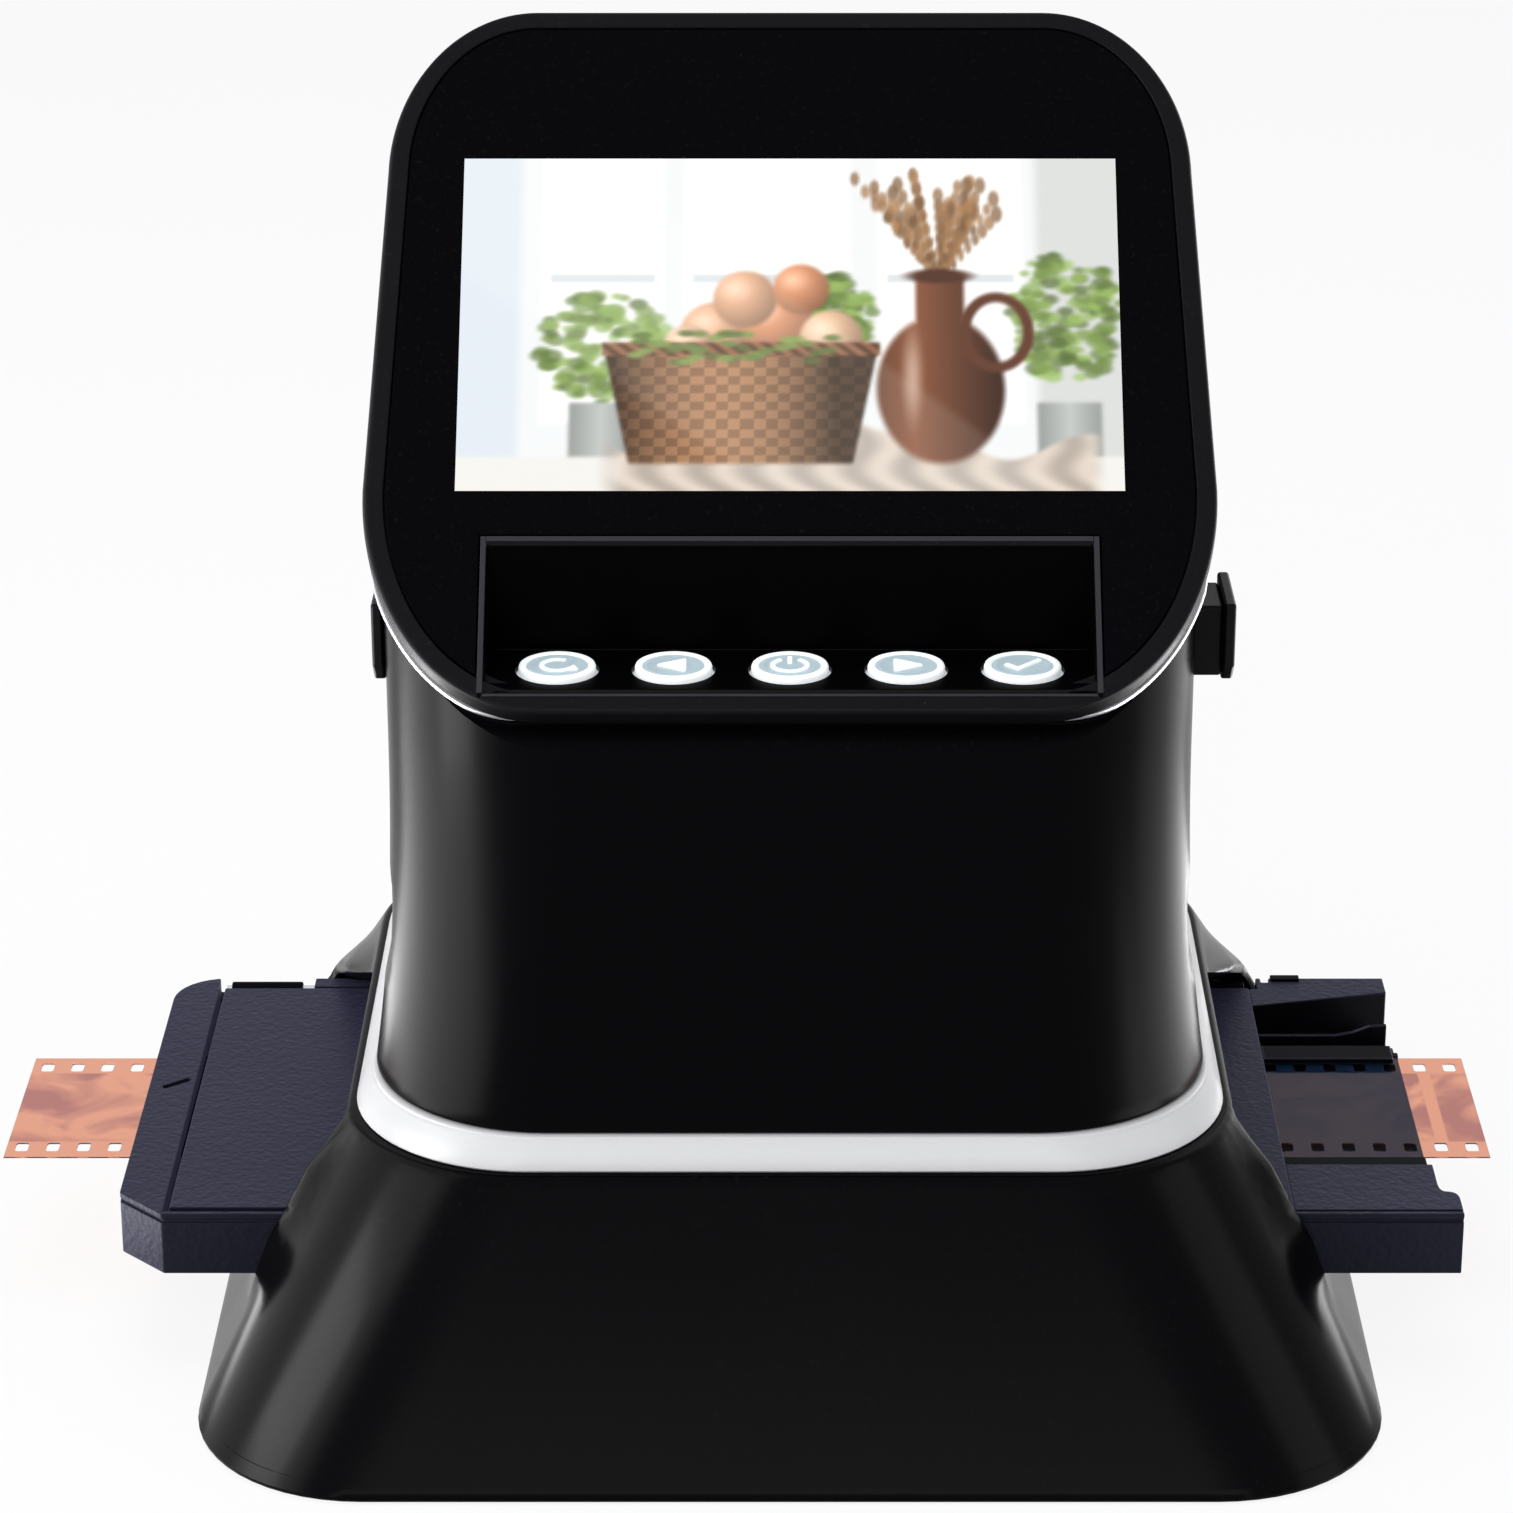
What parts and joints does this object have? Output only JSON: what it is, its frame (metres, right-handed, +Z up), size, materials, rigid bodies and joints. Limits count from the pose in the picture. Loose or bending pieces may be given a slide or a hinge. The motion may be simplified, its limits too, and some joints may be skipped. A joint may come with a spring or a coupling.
{
  "type": "film negative scanner",
  "caption": "Desktop film scanner: flared hollow base, tower with slanted screen and key recess, and a film tray that slides through the base from side to side.",
  "frame": {"origin": "on the surface the scanner stands on, under the middle of the whole box with its film strip in place; the middle plane of the scanner itself lies 6.6 mm to the right of it", "axes": "+X to the viewer's right along the film, +Y away from the viewer, +Z up"},
  "size_m": [0.228, 0.162, 0.1916],
  "materials": {
    "gloss_black": "glossy black moulded plastic",
    "satin_black": "satin black moulded plastic",
    "tray_plastic": "finely textured blue-black plastic",
    "white_trim": "white moulded plastic",
    "silver_trim": "thin satin silver ring",
    "black_glass": "black printed front glass, fully glossy",
    "screen_panel": "lit picture of the screen",
    "key_plastic": "pale blue-grey keys with white symbols",
    "steel": "plain steel",
    "circuit_board": "green solder mask",
    "socket_metal": "nickel-plated shell",
    "rubber": "black rubber",
    "diffuser": "milky white light diffuser",
    "film_base": "orange-brown colour negative film",
    "lens_glass": "coated lens glass",
    "ribbon": "amber flat cable"
  },
  "bodies": {
    "scanner": {"base_shell": "gloss_black", "bottom_plate": "satin_black", "rubber_foot_1": "rubber", "rubber_foot_2": "rubber", "rubber_foot_3": "rubber", "rubber_foot_4": "rubber", "base_screw_1": "steel", "base_screw_2": "steel", "base_screw_3": "steel", "base_screw_4": "steel", "lamp_board": "circuit_board", "tray_bed": "satin_black", "diffuser_plate": "diffuser", "tray_guide_front": "satin_black", "tray_guide_rear": "satin_black", "trim_collar": "white_trim", "tower_shell": "gloss_black", "rear_cover": "gloss_black", "rear_screw_1": "steel", "rear_screw_2": "steel", "rear_screw_3": "steel", "rear_screw_4": "steel", "front_bezel": "satin_black", "head_trim": "silver_trim", "screen_glass": "black_glass", "lcd_panel": "screen_panel", "lcd_bracket": "steel", "button_board": "circuit_board", "key_switch_1": "satin_black", "key_switch_2": "satin_black", "key_switch_3": "satin_black", "key_switch_4": "satin_black", "key_switch_5": "satin_black", "light_hood": "satin_black", "main_board": "circuit_board", "sd_socket": "socket_metal", "usb_port": "socket_metal", "video_port": "socket_metal", "camera_bracket": "steel", "camera_board": "circuit_board", "lens_barrel": "satin_black", "front_lens": "lens_glass", "camera_ribbon": "ribbon", "screen_ribbon": "ribbon"},
    "mode_key": {"button_mode": "key_plastic"},
    "left_key": {"button_left": "key_plastic"},
    "power_key": {"button_power": "key_plastic"},
    "right_key": {"button_right": "key_plastic"},
    "confirm_key": {"button_confirm": "key_plastic"},
    "selector": {"selector_bar": "satin_black", "selector_plate_left": "satin_black", "selector_plate_right": "satin_black"},
    "tray": {"tray_base": "tray_plastic", "tray_hinge_pin": "steel"},
    "cover": {"tray_cover": "tray_plastic"},
    "film": {"film_strip": "film_base"}
  },
  "joints": [
    {"name": "tray_slide", "type": "slide", "parent": "scanner", "child": "tray", "axis": [1, 0, 0], "range_m": [-0.18, 0.18]},
    {"name": "cover_hinge", "type": "hinge", "parent": "tray", "child": "cover", "pos_m": [0.0066, 0.0403, 0.02455], "axis": [-1, 0, 0], "range_deg": [0, 4]},
    {"name": "film_slide", "type": "slide", "parent": "tray", "child": "film", "axis": [1, 0, 0], "range_m": [-0.15, 0.15]},
    {"name": "selector_slide", "type": "slide", "parent": "scanner", "child": "selector", "axis": [-1, 0, 0], "range_m": [0, 0.0039]},
    {"name": "mode_press", "type": "slide", "parent": "scanner", "child": "mode_key", "axis": [0, 0, -1], "range_m": [0, 0.0008], "stiffness_N_per_m": 800},
    {"name": "left_press", "type": "slide", "parent": "scanner", "child": "left_key", "axis": [0, 0, -1], "range_m": [0, 0.0008], "stiffness_N_per_m": 800},
    {"name": "power_press", "type": "slide", "parent": "scanner", "child": "power_key", "axis": [0, 0, -1], "range_m": [0, 0.0008], "stiffness_N_per_m": 800},
    {"name": "right_press", "type": "slide", "parent": "scanner", "child": "right_key", "axis": [0, 0, -1], "range_m": [0, 0.0008], "stiffness_N_per_m": 800},
    {"name": "confirm_press", "type": "slide", "parent": "scanner", "child": "confirm_key", "axis": [0, 0, -1], "range_m": [0, 0.0008], "stiffness_N_per_m": 800}
  ]
}
